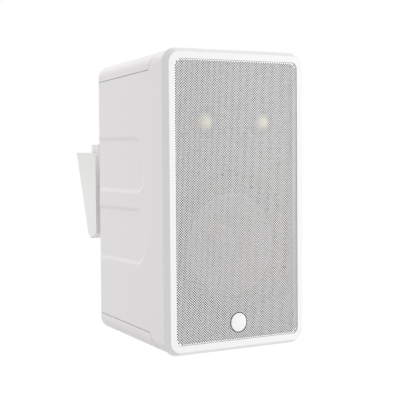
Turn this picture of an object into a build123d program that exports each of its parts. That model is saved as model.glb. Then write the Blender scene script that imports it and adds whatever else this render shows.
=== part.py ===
"""Outdoor wall speaker with a wedge wall bracket.

Millimetres, +Z up, front facing -Y. The origin is on the floor plane, under the middle of the whole
object's box. Depths below are measured backwards from the front of the trim frame, and heights from
the middle of the cabinet, unless a line says otherwise.
"""
import os
from math import acos, cos, radians, sin, tan

from build123d import *

os.makedirs("parts", exist_ok=True)

# Cabinet
height = 318.0            # trim frame, bottom to top
width = 182.0             # trim frame, side to side
cabinet_depth = 179.0     # front of the trim to the back of the cabinet
side_draft = 7.0          # each side leans in towards the back, degrees
end_draft = 3.0           # top and bottom lean in towards the back, degrees
edge_radius = 13.0        # long edges
back_radius = 9.0         # edges of the back
wall = 5.5
rim_wall = 3.2            # front rim around the baffle
reveal = 2.75             # width of the groove behind the trim
reveal_depth = 1.5
ledge_width = 15.0        # inner ledge that the baffle is screwed to
ledge_thickness = 7.0
least_radius = 3.0
cut_margin = 1.0          # how far a cutter runs past the face it opens

# Side pockets, two on each side, open at the back edge
pocket_start = 48.0       # along the side, from the rim
pocket_height = 61.0
pocket_rib = 15.6         # rib left between the two
pocket_depth = 1.6
pocket_bevel = 4.0        # run of the sloped border
pocket_radius = 19.0

# End covers
cover_wall = 2.4
cover_fit = 0.15          # cover to the core below it
cover_front = 43.0        # depth of the skirt's front corner
cover_skirt = 18.2        # how far the cover comes down the side
cover_lean = 38.0         # front edge from the vertical, degrees
part_gap = 0.7            # open part line

# Trim frame and grille
trim_depth = 7.2
trim_step = 1.5           # trim stands this far outside the cabinet
trim_radius = 16.0
trim_bevel = 4.0          # slope of the outside, from the back to the front face
trim_crease = 0.7         # rounding where the slope meets the front face
trim_border = 11.0        # from the outside to the grille opening
opening_radius = 7.0
tongue = 2.6              # skirt behind the border, down to the baffle
grille_recess = 1.2
grille_sheet = 1.0
grille_flange = 5.0       # bent rim of the sheet
grille_fit = 0.2
column_pitch = 1.57
slot_width = 0.85
slot_margin = 2.0

# Badge on the grille
badge_radius = 10.8
badge_rim = 0.8           # low rim around the raised disc
badge_rim_height = 0.4
badge_edge = 0.35         # rounding of the raised disc
badge_height = 29.5       # above the trim's lower edge

# Baffle
baffle_front = 14.0
baffle_thickness = 9.0
gasket_thickness = 1.5
baffle_fit = 0.3
screw_inset = 10.2        # baffle screws from the baffle's side edges
screw_end_inset = 13.0    # and from its ends
flank_clear = 10.5        # screws beside the woofer, past its edge

# Woofer
woofer_drop = 47.0        # axis below the middle
woofer_clear = 0.4        # frame inside the trim's opening
woofer_land = 14.0        # frame's flange outside the basket
flange_thickness = 4.0
basket_depth = 42.0
basket_wall = 3.5
basket_base = 4.0
basket_foot = 44.0        # outer radius at the base
window_width = 34.0
window_depth = 18.0
window_count = 6
spider_depth = 30.0       # seat of the spider behind the flange
spider_seat = 6.0
spider_waves = 4
spider_cloth = 0.8
cone_depth = 23.0
cone_wall = 1.4
coil_radius = 17.0
coil_wall = 1.0
coil_gap = 0.6
top_plate = 6.0
magnet_radius = 50.0
magnet_thickness = 16.0
magnet_bore = 25.0
back_plate = 6.0
cap_radius = 21.0
cap_rise = 9.0
cap_wall = 0.9
roll_width = 12.6         # surround, between its feet
roll_wall = 0.8
roll_foot = 2.4
seal_width = 7.0
seal_thickness = 1.0
woofer_screw_count = 6

# Tweeters
tweeter_gap = 7.2         # face plates to the middle line
tweeter_edge = 3.3        # face plates to the baffle screws' heads
tweeter_land = 9.0        # face plate outside the motor
tweeter_rise = 83.0       # axes above the middle
tweeter_stand = 4.5       # face plates stand this far out of the baffle
face_seat = 4.0           # and lie this far in it
face_thickness = 4.0      # in front of the motor
dome_radius = 12.5
dome_rise = 5.0
dome_wall = 0.5
dome_roll = 1.6           # width of the surround's roll is twice this
dome_foot = 1.4
roll_sheet = 0.4
motor_depth = 20.0
motor_groove = 8.0
motor_fit = 0.5
tweeter_screw_count = 3
tweeter_screw_turn = 90.0 # first screw above the axis, degrees

# Inside the cabinet
board_width = 90.0
board_height = 70.0
board_thickness = 1.6
board_drop = 58.0
standoff = 10.0
standoff_radius = 4.0
board_inset = 6.0
inductor_radius = 14.0
inductor_bore = 7.0
inductor_height = 16.0
inductor_spread = 22.0    # from the board's middle
inductor_rise = 11.5
capacitor_radius = 5.0
capacitor_length = 30.0
capacitor_pitch = 11.5
capacitor_drop = 14.0     # first one below the board's middle
wadding_size = 104.0
wadding_thickness = 18.0
wadding_rise = 76.0

# Terminals on the back
terminal_drop = 104.0
terminal_width = 62.0
terminal_height = 34.0
terminal_plate_thickness = 3.0
terminal_inset = 5.2      # screws from the plate's ends
post_spacing = 24.0
post_radius = 6.4
post_collar = 7.4
post_length = 15.0
post_collar_length = 4.0
post_stem = 2.6
post_tail = 8.0

# Bracket
dock_width = 84.0
dock_height = 98.0
dock_thickness = 5.0
dock_radius = 8.0
barrel_radius = 6.2
barrel_gap = 0.8          # barrel to the plate or wedge beside it
barrel_length = 26.0      # the wedge's barrel, in the middle
dock_barrel_length = 24.0
pin_radius = 3.5
pin_fit = 0.05
pin_head = 5.6
pin_head_height = 3.0
clip_thickness = 1.4
washer = 1.0
washer_fit = 0.1
web = 9.0
bracket_width = 120.0
bracket_wall = 3.0
wedge_depth = 44.5        # at the top
wedge_top = 51.5          # rear top edge, above the middle
wedge_fall = 1.7          # the top falls this much towards the cabinet
wedge_tilt = 15.0         # wall face from the vertical, degrees
heel_drop = 43.0
tip_depth = 13.0
tip_drop = 49.0
toe_drop = 42.5
wedge_round = 1.2
plate_thickness = 2.5
plate_margin = 8.0
plate_fit = 0.4
plate_radius = 5.0
hole_circle = 60.0
hole_count = 4
hole_turn = 45.0          # first hole from the level, degrees
hole_radius = 2.75
support_rib = 3.0
support_clear = 3.5       # support ribs from the release bar
bar_width = 93.0
bar_front = 17.0          # behind the wedge's front face
bar_depth = 15.0
bar_stand = 9.6           # above the wedge's top
bar_fit = 0.4
bar_flange = 2.0
bar_flange_gap = 0.4
bar_travel = 4.0
arm_width = 16.0
arm_thickness = 3.5
tooth_drop = 13.5         # middle of the tooth below the wedge's rear top edge
tooth_height = 4.0
tooth_width = 12.0
window_clear = 2.0
spring_radius = 5.0
spring_wall = 1.0
shelf_drop = 31.5         # top of the spring's shelf below the wedge's rear top edge
shelf_thickness = 3.0
shelf_width = 28.0
spring_boss = 6.0

# Screws
pan_radius = 3.5
pan_height = 2.0
shank_radius = 1.9
shank_fit = 0.1
small_pan_radius = 2.6
small_pan_height = 1.4
small_shank_radius = 1.4
tip_clear = 1.0           # screw tip short of the hole's end

# Worked out from the above
neck_gap = dock_thickness + 2 * (barrel_radius + barrel_gap)
wedge_front = cabinet_depth + neck_gap
front_y = -(wedge_front + wedge_depth) / 2
mid_z = height / 2
opening_width = width - 2 * trim_border
opening_height = height - 2 * trim_border
woofer_radius = opening_width / 2 - woofer_clear
basket_radius = woofer_radius - woofer_land
surround_outer = woofer_radius - seal_width - roll_foot
cone_radius = surround_outer - roll_width
baffle_back = baffle_front + baffle_thickness
ledge_depth = baffle_back + gasket_thickness
cavity_front = ledge_depth + ledge_thickness
inner_back = cabinet_depth - wall
pivot_depth = wedge_front - barrel_gap - barrel_radius
throat_inset = rim_wall + ledge_width
bore = shank_radius + shank_fit
small_bore = small_shank_radius + shank_fit
post_bore = post_stem + shank_fit


def half_width(depth):
    return width / 2 - trim_step - (depth - trim_depth) * tan(radians(side_draft))


def half_height(depth):
    return height / 2 - trim_step - (depth - trim_depth) * tan(radians(end_draft))


def behind(depth):
    """Upright plane at a depth, seen from the front: local x is X and local y is height."""
    return Plane(origin=(0, front_y + depth, mid_z), x_dir=(1, 0, 0), z_dir=(0, -1, 0))


def sideways(x, depth):
    """Plane seen from the right side: local x runs back from a depth and local y is height."""
    return Plane(origin=(x, front_y + depth, mid_z), x_dir=(0, 1, 0), z_dir=(1, 0, 0))


def level(rise, depth):
    """Level plane at a height: local x is X and local y runs back from a depth."""
    return Plane(origin=(0, front_y + depth, mid_z + rise), x_dir=(1, 0, 0), z_dir=(0, 0, 1))


def save(part, name):
    part.label = name
    export_step(part, "parts/" + name + ".step")


def tapered_block(start, end, inset, end_inset):
    """Block that follows the cabinet's taper between two depths, set in from its outside."""
    with BuildPart() as block:
        for depth, clear in ((start, inset), (end, end_inset)):
            with BuildSketch(behind(depth)):
                RectangleRounded(
                    2 * (half_width(depth) - clear),
                    2 * (half_height(depth) - clear),
                    max(edge_radius - clear, least_radius),
                )
        loft(ruled=True)
    return block.part


def cabinet_form(start, inset):
    """The cabinet's tapered form with its rounded back, set in from its outside."""
    with BuildPart() as form:
        add(tapered_block(start, cabinet_depth - inset, inset, inset))
        fillet(faces().sort_by(Axis.Y)[-1].edges(), max(back_radius - inset, least_radius))
    return form.part


def cover_region(clear):
    """Prism that the top cover's skin lies in, with its part line set in by a clearance."""
    reach = cabinet_depth + back_radius
    front_foot = half_height(cover_front) - cover_skirt
    lean = tan(radians(cover_lean)) * (mid_z - front_foot)
    with BuildPart() as region:
        with BuildSketch(sideways(0, 0)):
            with BuildLine():
                Polyline(
                    (cover_front, front_foot),
                    (reach, half_height(reach) - cover_skirt),
                    (reach, mid_z),
                    (cover_front - lean, mid_z),
                    close=True,
                )
            make_face()
            if clear:
                offset(amount=-clear, kind=Kind.INTERSECTION)
        extrude(amount=width, both=True)
    return region.part


def side_pocket(side, upper):
    """Cutter for one shallow pocket with sloped borders, on the left (-1) or right (1) side."""
    lean = radians(side_draft)
    face = Plane(
        origin=(side * half_width(trim_depth), front_y + trim_depth, mid_z),
        x_dir=(-side * sin(lean), cos(lean), 0),
        z_dir=(side * cos(lean), sin(lean), 0),
    )
    back_end = (cabinet_depth - trim_depth) / cos(lean) + back_radius
    centre = upper * (pocket_rib + pocket_height) / 2
    with BuildPart() as cutter:
        for sunk, inset in ((0, 0), (pocket_depth, pocket_bevel)):
            low = centre - pocket_height / 2 + inset
            high = centre + pocket_height / 2 - inset
            with BuildSketch(face.offset(-sunk)):
                with BuildLine():
                    FilletPolyline(
                        (back_end, low),
                        (pocket_start + inset, low),
                        (pocket_start + inset, high),
                        (back_end, high),
                        radius=pocket_radius - inset,
                    )
                    Line((back_end, high), (back_end, low))
                make_face()
        loft(ruled=True)
    return cutter.part


def screws(name, places, seat, facing, pan, pan_rise, shank, length):
    """Pan-head screws in one row of places, heads facing the front (1) or the back (-1)."""
    with BuildPart() as group:
        for radius, run in ((pan, facing * pan_rise), (shank, -facing * length)):
            with BuildSketch(behind(seat)):
                with Locations(*places):
                    Circle(radius)
            extrude(amount=run)
    save(group.part, name)


def pilot_holes(places, start, end, radius):
    """Cutter for round holes between two depths."""
    with BuildPart() as cutter:
        with BuildSketch(behind(start)):
            with Locations(*places):
                Circle(radius)
        extrude(amount=-(end - start))
    return cutter.part


def spin_plane(centre):
    """Plane through a driver's axis: local x is radius and local y is depth."""
    return Plane(origin=(centre[0], front_y, mid_z + centre[1]), x_dir=(1, 0, 0), z_dir=(0, 0, 1))


def spin_axis(centre):
    return Axis((centre[0], front_y, mid_z + centre[1]), (0, 1, 0))


def turned(centre, outline):
    """Turned piece: an outline of radius and depth points, spun about a driver's axis."""
    with BuildPart() as piece:
        with BuildSketch(spin_plane(centre)):
            with BuildLine():
                Polyline(*outline, close=True)
            make_face()
        revolve(axis=spin_axis(centre))
    return piece.part


def ring(centre, inner, outer, start, end):
    """Turned ring of plain rectangular section."""
    return turned(centre, [(inner, start), (outer, start), (outer, end), (inner, end)])


def roll(centre, inner, outer, base, sheet, inner_foot, outer_foot):
    """Half-roll surround between two radii, bulging forwards, with a flat foot on each side."""
    middle = (inner + outer) / 2
    crest = base - (outer - inner) / 2
    back = base + sheet
    with BuildPart() as piece:
        with BuildSketch(spin_plane(centre)):
            with BuildLine():
                ThreePointArc((inner, base), (middle, crest), (outer, base))
                Polyline(
                    (outer, base),
                    (outer + outer_foot, base),
                    (outer + outer_foot, back),
                    (outer - sheet, back),
                )
                ThreePointArc((outer - sheet, back), (middle, crest + 2 * sheet), (inner + sheet, back))
                Polyline(
                    (inner + sheet, back),
                    (inner - inner_foot, back),
                    (inner - inner_foot, base),
                    (inner, base),
                )
            make_face()
        revolve(axis=spin_axis(centre))
    return piece.part


def cap(centre, radius, base, rise, thickness):
    """Thin dome bulging forwards from a rim of the given radius and depth."""
    ball = (radius**2 + rise**2) / (2 * rise)
    ball_depth = base - rise + ball
    skin = ball - thickness
    inner_rim = (skin**2 - (ball - rise) ** 2) ** 0.5

    def on_ball(size, share):
        """Point on a ball about the dome's centre, part of the way from the crest to the rim."""
        turn = share * acos((ball - rise) / size)
        return (size * sin(turn), ball_depth - size * cos(turn))

    with BuildPart() as piece:
        with BuildSketch(spin_plane(centre)):
            with BuildLine():
                ThreePointArc(on_ball(ball, 0), on_ball(ball, 0.5), (radius, base))
                Line((radius, base), (inner_rim, base))
                ThreePointArc((inner_rim, base), on_ball(skin, 0.5), on_ball(skin, 0))
                Line(on_ball(skin, 0), on_ball(ball, 0))
            make_face()
        revolve(axis=spin_axis(centre))
    return piece.part


# Places of the drivers and screws
baffle_width = 2 * (half_width(baffle_back) - rim_wall - baffle_fit)
baffle_height = 2 * (half_height(baffle_back) - rim_wall - baffle_fit)
screw_x = baffle_width / 2 - screw_inset
screw_end = baffle_height / 2 - screw_end_inset
face_radius = (screw_x - pan_radius - tweeter_edge - tweeter_gap) / 2
motor_radius = face_radius - tweeter_land
tweeter_x = face_radius + tweeter_gap
woofer_centre = (0, -woofer_drop)
tweeter_centres = {"left": (-tweeter_x, tweeter_rise), "right": (tweeter_x, tweeter_rise)}
woofer_flank = (woofer_radius**2 - (screw_x - pan_radius) ** 2) ** 0.5 + flank_clear
baffle_screw_rows = (
    screw_end,
    tweeter_rise,
    woofer_flank - woofer_drop,
    -woofer_flank - woofer_drop,
    -screw_end,
)
baffle_places = [(side * screw_x, row) for row in baffle_screw_rows for side in (-1, 1)]


def circle_places(centre, radius, count, start):
    """Places on a circle, as X and height."""
    turns = [radians(start + 360 * step / count) for step in range(count)]
    return [(centre[0] + radius * cos(turn), centre[1] + radius * sin(turn)) for turn in turns]


woofer_screw_circle = woofer_radius - seal_width / 2
woofer_places = circle_places(woofer_centre, woofer_screw_circle, woofer_screw_count, 0)
tweeter_screw_circle = (motor_radius + face_radius) / 2
tweeter_places = [
    place
    for centre in tweeter_centres.values()
    for place in circle_places(centre, tweeter_screw_circle, tweeter_screw_count, tweeter_screw_turn)
]
dock_places = [
    (across * (dock_width / 2 - dock_radius), up * (dock_height / 2 - dock_radius))
    for across in (-1, 1)
    for up in (-1, 1)
]
terminal_places = [
    (across * (terminal_width / 2 - terminal_inset), -terminal_drop) for across in (-1, 1)
]
post_places = {"black": (-post_spacing / 2, -terminal_drop), "red": (post_spacing / 2, -terminal_drop)}
board_places = [
    (across * (board_width / 2 - board_inset), up * (board_height / 2 - board_inset) - board_drop)
    for across in (-1, 1)
    for up in (-1, 1)
]
board_back = inner_back - standoff
board_front = board_back - board_thickness

# Cabinet shell: tapered moulding with recessed ends for the covers, side pockets and a baffle ledge
outer_form = cabinet_form(trim_depth + reveal, 0)
core_form = cabinet_form(trim_depth, cover_wall + cover_fit)
with BuildPart() as cover_recess:
    add(cover_region(0))
    mirror(about=level(0, 0))
    add(core_form, mode=Mode.SUBTRACT)

with BuildPart() as cabinet_shell:
    add(outer_form)
    add(tapered_block(trim_depth, trim_depth + reveal, reveal_depth, reveal_depth))
    add(cover_recess.part, mode=Mode.SUBTRACT)
    for side in (-1, 1):
        for upper in (-1, 1):
            add(side_pocket(side, upper), mode=Mode.SUBTRACT)
    add(tapered_block(trim_depth - cut_margin, ledge_depth, rim_wall, rim_wall), mode=Mode.SUBTRACT)
    add(
        tapered_block(ledge_depth - cut_margin, cavity_front + cut_margin, throat_inset, throat_inset),
        mode=Mode.SUBTRACT,
    )
    add(cabinet_form(cavity_front, wall), mode=Mode.SUBTRACT)
    with BuildSketch(behind(inner_back + wall / 2)):
        with Locations(*board_places):
            Circle(standoff_radius)
    extrude(amount=standoff + wall / 2)
    for places, start, end, radius in (
        (baffle_places, ledge_depth, cavity_front, bore),
        (dock_places, inner_back, cabinet_depth, bore),
        (terminal_places, inner_back, cabinet_depth, small_bore),
        (post_places.values(), inner_back, cabinet_depth, post_bore),
    ):
        add(pilot_holes(places, start - cut_margin, end + cut_margin, radius), mode=Mode.SUBTRACT)
    add(pilot_holes(board_places, board_back - cut_margin, inner_back, small_bore), mode=Mode.SUBTRACT)
save(cabinet_shell.part, "cabinet_shell")

# End covers: thin caps over the recessed ends, with an open part line all round
with BuildPart() as top_cover:
    add(outer_form)
    add(cover_region(part_gap), mode=Mode.INTERSECT)
    add(core_form, mode=Mode.SUBTRACT)
save(top_cover.part, "top_cover")

with BuildPart() as bottom_cover:
    mirror(top_cover.part, about=level(0, 0))
save(bottom_cover.part, "bottom_cover")

# Trim frame: border with sloped outsides and a tongue that stands on the baffle
with BuildPart() as trim_frame:
    for depth, inset in ((0, trim_bevel), (trim_depth, 0)):
        with BuildSketch(behind(depth)):
            RectangleRounded(width - 2 * inset, height - 2 * inset, trim_radius - inset)
    loft(ruled=True)
    fillet(faces().sort_by(Axis.Y)[0].edges(), trim_crease)
    with BuildSketch(behind(trim_depth)):
        RectangleRounded(opening_width + 2 * tongue, opening_height + 2 * tongue, opening_radius + tongue)
    extrude(amount=-(baffle_front - trim_depth))
    with BuildSketch(behind(0)):
        RectangleRounded(opening_width, opening_height, opening_radius)
    extrude(amount=-baffle_front, mode=Mode.SUBTRACT)
save(trim_frame.part, "trim_frame")

# Grille: flanged sheet pierced in columns at the real sheet's column pitch
grille_width = opening_width - 2 * grille_fit
grille_height = opening_height - 2 * grille_fit
grille_radius = opening_radius - grille_fit
column_count = int((grille_width - 2 * slot_margin) / column_pitch)
with BuildPart() as grille:
    with BuildSketch(behind(grille_recess)):
        RectangleRounded(grille_width, grille_height, grille_radius)
    extrude(amount=-(grille_sheet + grille_flange))
    with BuildSketch(behind(grille_recess + grille_sheet)):
        RectangleRounded(
            grille_width - 2 * grille_sheet, grille_height - 2 * grille_sheet, grille_radius - grille_sheet
        )
    extrude(amount=-grille_flange, mode=Mode.SUBTRACT)
    with BuildSketch(behind(grille_recess)):
        with GridLocations(column_pitch, column_pitch, column_count, 1):
            Rectangle(slot_width, grille_height - 2 * slot_margin)
    extrude(amount=-grille_sheet, mode=Mode.SUBTRACT)
save(grille.part, "grille")

# Badge: plain disc on a low rim, bonded to the grille
badge_centre = (0, badge_height - mid_z)
with BuildPart() as badge:
    for radius, rise in ((badge_radius, badge_rim_height), (badge_radius - badge_rim, grille_recess)):
        with BuildSketch(behind(grille_recess)):
            with Locations(badge_centre):
                Circle(radius)
        extrude(amount=rise)
    fillet(faces().sort_by(Axis.Y)[0].edges(), badge_edge)
save(badge.part, "badge")

# Baffle with its driver seats, gasket and screws
with BuildPart() as front_baffle:
    with BuildSketch(behind(baffle_front)):
        RectangleRounded(baffle_width, baffle_height, edge_radius - rim_wall)
    extrude(amount=-baffle_thickness)
    with BuildSketch(behind(baffle_front)):
        with Locations(woofer_centre):
            Circle(woofer_radius + baffle_fit)
    extrude(amount=-flange_thickness, mode=Mode.SUBTRACT)
    with BuildSketch(behind(baffle_front)):
        with Locations(*tweeter_centres.values()):
            Circle(face_radius + baffle_fit)
    extrude(amount=-face_seat, mode=Mode.SUBTRACT)
    with BuildSketch(behind(baffle_front)):
        with Locations(woofer_centre):
            Circle(basket_radius + baffle_fit)
        with Locations(*tweeter_centres.values()):
            Circle(motor_radius + motor_fit)
    extrude(amount=-baffle_thickness, mode=Mode.SUBTRACT)
    add(pilot_holes(baffle_places + woofer_places, baffle_front, baffle_back, bore), mode=Mode.SUBTRACT)
    add(pilot_holes(tweeter_places, baffle_front, baffle_back, small_bore), mode=Mode.SUBTRACT)
save(front_baffle.part, "front_baffle")

with BuildPart() as baffle_gasket:
    with BuildSketch(behind(baffle_back)):
        RectangleRounded(baffle_width, baffle_height, edge_radius - rim_wall)
        RectangleRounded(
            2 * (half_width(ledge_depth) - throat_inset),
            2 * (half_height(ledge_depth) - throat_inset),
            least_radius,
            mode=Mode.SUBTRACT,
        )
        with Locations(*baffle_places):
            Circle(bore, mode=Mode.SUBTRACT)
    extrude(amount=-gasket_thickness)
save(baffle_gasket.part, "baffle_gasket")

screws(
    "baffle_screws", baffle_places, baffle_front, 1, pan_radius, pan_height, shank_radius,
    baffle_thickness + gasket_thickness + ledge_thickness,
)

# Woofer, from the flange back
base_depth = baffle_front + basket_depth
plate_depth = base_depth + basket_base
magnet_depth = plate_depth + top_plate
yoke_depth = magnet_depth + magnet_thickness
pole_radius = coil_radius - coil_wall - coil_gap
plate_bore = coil_radius + coil_gap
flange_back = baffle_front + flange_thickness
seat_depth = baffle_front + spider_depth
wall_run = (spider_depth - flange_thickness) / (basket_depth - flange_thickness)
seat_radius = basket_radius - wall_run * (basket_radius - basket_foot)

with BuildPart() as woofer_basket:
    with BuildSketch(spin_plane(woofer_centre)):
        with BuildLine():
            Polyline(
                (basket_radius - basket_wall, baffle_front),
                (woofer_radius, baffle_front),
                (woofer_radius, flange_back),
                (basket_radius, flange_back),
                (basket_foot, base_depth),
                (basket_foot, plate_depth),
                (plate_bore, plate_depth),
                (plate_bore, base_depth),
                (basket_foot - basket_wall, base_depth),
                (seat_radius - basket_wall, seat_depth + basket_wall),
                (seat_radius - spider_seat, seat_depth + basket_wall),
                (seat_radius - spider_seat, seat_depth),
                (seat_radius - basket_wall, seat_depth),
                (basket_radius - basket_wall, flange_back),
                close=True,
            )
        make_face()
    revolve(axis=spin_axis(woofer_centre))
    window_middle = (flange_back + seat_depth) / 2
    for place in circle_places((0, 0), basket_radius, window_count, 0):
        turn = Plane(
            origin=(place[0], front_y + window_middle, mid_z - woofer_drop + place[1]),
            x_dir=(0, 1, 0),
            z_dir=(place[0], 0, place[1]),
        )
        with BuildSketch(turn):
            Rectangle(window_depth, window_width)
        extrude(amount=basket_radius / 2, both=True, mode=Mode.SUBTRACT)
    add(pilot_holes(woofer_places, baffle_front, flange_back, bore), mode=Mode.SUBTRACT)
save(woofer_basket.part, "woofer_basket")

with BuildPart() as woofer_gasket:
    with BuildSketch(behind(baffle_front)):
        with Locations(woofer_centre):
            Circle(woofer_radius)
            Circle(woofer_radius - seal_width, mode=Mode.SUBTRACT)
        with Locations(*woofer_places):
            Circle(bore, mode=Mode.SUBTRACT)
    extrude(amount=seal_thickness)
save(woofer_gasket.part, "woofer_gasket")

screws(
    "woofer_screws", woofer_places, baffle_front - seal_thickness, 1, pan_radius, pan_height, shank_radius,
    seal_thickness + baffle_thickness,
)

cone_neck = baffle_front + cone_depth
woofer_cone = turned(
    woofer_centre,
    [
        (coil_radius, cone_neck),
        (cone_radius, baffle_front),
        (cone_radius, baffle_front + cone_wall),
        (coil_radius, cone_neck + cone_wall),
    ],
)
save(woofer_cone, "woofer_cone")

coil_tail = magnet_depth + top_plate / 2
voice_coil = ring(woofer_centre, coil_radius - coil_wall, coil_radius, cone_neck, coil_tail)
save(voice_coil, "voice_coil")

cap_seat = cone_neck - (cap_radius - coil_radius) * cone_depth / (cone_radius - coil_radius)
dust_cap = cap(woofer_centre, cap_radius, cap_seat, cap_rise, cap_wall)
save(dust_cap, "dust_cap")

woofer_surround = roll(
    woofer_centre, cone_radius, surround_outer, baffle_front - roll_wall, roll_wall, roll_foot, roll_foot
)
save(woofer_surround, "woofer_surround")

spider_inner = coil_radius + coil_gap / 2
spider_outer = seat_radius - basket_wall - coil_gap
spider_step = (spider_outer - spider_seat - spider_inner) / (2 * spider_waves)
with BuildPart() as woofer_spider:
    with BuildSketch(spin_plane(woofer_centre)):
        spider_middle = seat_depth - spider_cloth
        with BuildLine():
            Polyline(
                *[
                    (spider_inner + step * spider_step, spider_middle - (step % 2) * 2 * spider_cloth)
                    for step in range(2 * spider_waves + 1)
                ],
                (spider_outer, spider_middle),
            )
        trace(line_width=spider_cloth)
    revolve(axis=spin_axis(woofer_centre))
save(woofer_spider.part, "woofer_spider")

save(ring(woofer_centre, plate_bore, basket_foot, plate_depth, magnet_depth), "woofer_top_plate")
save(ring(woofer_centre, magnet_bore, magnet_radius, magnet_depth, yoke_depth), "woofer_magnet")
woofer_back_plate = turned(
    woofer_centre,
    [
        (0, plate_depth),
        (pole_radius, plate_depth),
        (pole_radius, yoke_depth),
        (basket_foot, yoke_depth),
        (basket_foot, yoke_depth + back_plate),
        (0, yoke_depth + back_plate),
    ],
)
save(woofer_back_plate, "woofer_back_plate")

# Tweeters: face plate, dome with its coil, surround and motor, twice
dome_edge = dome_radius + 2 * dome_roll
face_front = baffle_front - tweeter_stand
face_back = baffle_front + face_seat
motor_front = face_front + face_thickness
foot_depth = face_front + face_thickness / 2
coil_end = motor_front + motor_groove / 2
roll_base = foot_depth - roll_sheet
for side, centre in tweeter_centres.items():
    with BuildPart() as face_plate:
        add(ring(centre, dome_edge + dome_foot + motor_fit, face_radius, face_front, motor_front))
        add(ring(centre, dome_edge, face_radius, foot_depth, motor_front))
        add(ring(centre, motor_radius + motor_fit, face_radius, motor_front, face_back))
        add(pilot_holes(tweeter_places, face_front, face_back, small_bore), mode=Mode.SUBTRACT)
    save(face_plate.part, "tweeter_face_" + side)

    with BuildPart() as dome:
        add(cap(centre, dome_radius, face_front, dome_rise, dome_wall))
        add(ring(centre, dome_radius - dome_wall, dome_radius, face_front, coil_end))
    save(dome.part, "tweeter_dome_" + side)

    dome_surround = roll(
        centre, dome_radius + motor_fit, dome_edge, roll_base, roll_sheet, motor_fit - shank_fit, dome_foot
    )
    save(dome_surround, "tweeter_surround_" + side)

    motor = turned(
        centre,
        [
            (0, motor_front),
            (dome_radius - dome_wall - motor_fit, motor_front),
            (dome_radius - dome_wall - motor_fit, motor_front + motor_groove),
            (dome_radius + motor_fit, motor_front + motor_groove),
            (dome_radius + motor_fit, motor_front),
            (motor_radius, motor_front),
            (motor_radius, motor_front + motor_depth),
            (0, motor_front + motor_depth),
        ],
    )
    save(motor, "tweeter_motor_" + side)

screws(
    "tweeter_screws", tweeter_places, face_front, 1, small_pan_radius, small_pan_height,
    small_shank_radius, tweeter_stand + baffle_thickness,
)

# Crossover on its standoffs, and wadding on the back wall
with BuildPart() as crossover_board:
    with BuildSketch(behind(board_front)):
        with Locations((0, -board_drop)):
            Rectangle(board_width, board_height)
        with Locations(*board_places):
            Circle(small_bore, mode=Mode.SUBTRACT)
    extrude(amount=-board_thickness)
save(crossover_board.part, "crossover_board")

screws(
    "board_screws", board_places, board_front, 1, small_pan_radius, small_pan_height, small_shank_radius,
    board_thickness + standoff - tip_clear,
)

with BuildPart() as inductors:
    with BuildSketch(behind(board_front)):
        with Locations(*[(side * inductor_spread, inductor_rise - board_drop) for side in (-1, 1)]):
            Circle(inductor_radius)
            Circle(inductor_bore, mode=Mode.SUBTRACT)
    extrude(amount=inductor_height)
save(inductors.part, "inductors")

with BuildPart() as capacitors:
    with BuildSketch(sideways(-capacitor_length / 2, board_front - capacitor_radius)):
        for row in (0, 1):
            with Locations((0, -board_drop - capacitor_drop - row * capacitor_pitch)):
                Circle(capacitor_radius)
    extrude(amount=capacitor_length)
save(capacitors.part, "capacitors")

with BuildPart() as damping_wadding:
    with BuildSketch(behind(inner_back)):
        with Locations((0, wadding_rise)):
            RectangleRounded(wadding_size, wadding_size, wadding_thickness / 2)
    extrude(amount=wadding_thickness)
save(damping_wadding.part, "damping_wadding")

# Terminals on the back
with BuildPart() as terminal_plate:
    with BuildSketch(behind(cabinet_depth)):
        with Locations((0, -terminal_drop)):
            RectangleRounded(terminal_width, terminal_height, least_radius)
        with Locations(*post_places.values()):
            Circle(post_bore, mode=Mode.SUBTRACT)
        with Locations(*terminal_places):
            Circle(small_bore, mode=Mode.SUBTRACT)
    extrude(amount=-terminal_plate_thickness)
save(terminal_plate.part, "terminal_plate")

terminal_back = cabinet_depth + terminal_plate_thickness
screws(
    "terminal_screws", terminal_places, terminal_back, -1, small_pan_radius, small_pan_height,
    small_shank_radius, terminal_plate_thickness + wall,
)
for colour, centre in post_places.items():
    post = turned(
        centre,
        [
            (0, inner_back - post_tail),
            (post_stem, inner_back - post_tail),
            (post_stem, terminal_back),
            (post_collar, terminal_back),
            (post_collar, terminal_back + post_collar_length),
            (post_radius, terminal_back + post_collar_length),
            (post_radius, terminal_back + post_length),
            (0, terminal_back + post_length),
        ],
    )
    save(post, "binding_post_" + colour)

# Dock plate with two barrels, pivot pin, clip and washers
dock_back = cabinet_depth + dock_thickness
barrel_low = barrel_length / 2 + washer + 2 * washer_fit
barrel_high = barrel_low + dock_barrel_length
with BuildPart() as dock_plate:
    with BuildSketch(behind(cabinet_depth)):
        RectangleRounded(dock_width, dock_height, dock_radius)
        with Locations(*dock_places):
            Circle(bore, mode=Mode.SUBTRACT)
    extrude(amount=-dock_thickness)
    for rise in (barrel_low, -barrel_high):
        with BuildSketch(level(rise, pivot_depth)):
            Circle(barrel_radius)
            with Locations((0, (dock_back - pivot_depth - cut_margin) / 2)):
                Rectangle(web, pivot_depth - dock_back + cut_margin)
        extrude(amount=dock_barrel_length)
    with BuildSketch(level(-barrel_high, pivot_depth)):
        Circle(pin_radius + pin_fit)
    extrude(amount=2 * barrel_high, mode=Mode.SUBTRACT)
save(dock_plate.part, "dock_plate")

screws(
    "dock_screws", dock_places, dock_back, -1, pan_radius, pan_height, shank_radius,
    dock_thickness + wall - tip_clear,
)

with BuildPart() as pivot_pin:
    with BuildSketch(level(barrel_high, pivot_depth)):
        Circle(pin_head)
    extrude(amount=pin_head_height)
    with BuildSketch(level(barrel_high, pivot_depth)):
        Circle(pin_radius)
    extrude(amount=-(2 * barrel_high + 2 * clip_thickness + washer_fit))
save(pivot_pin.part, "pivot_pin")

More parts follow.
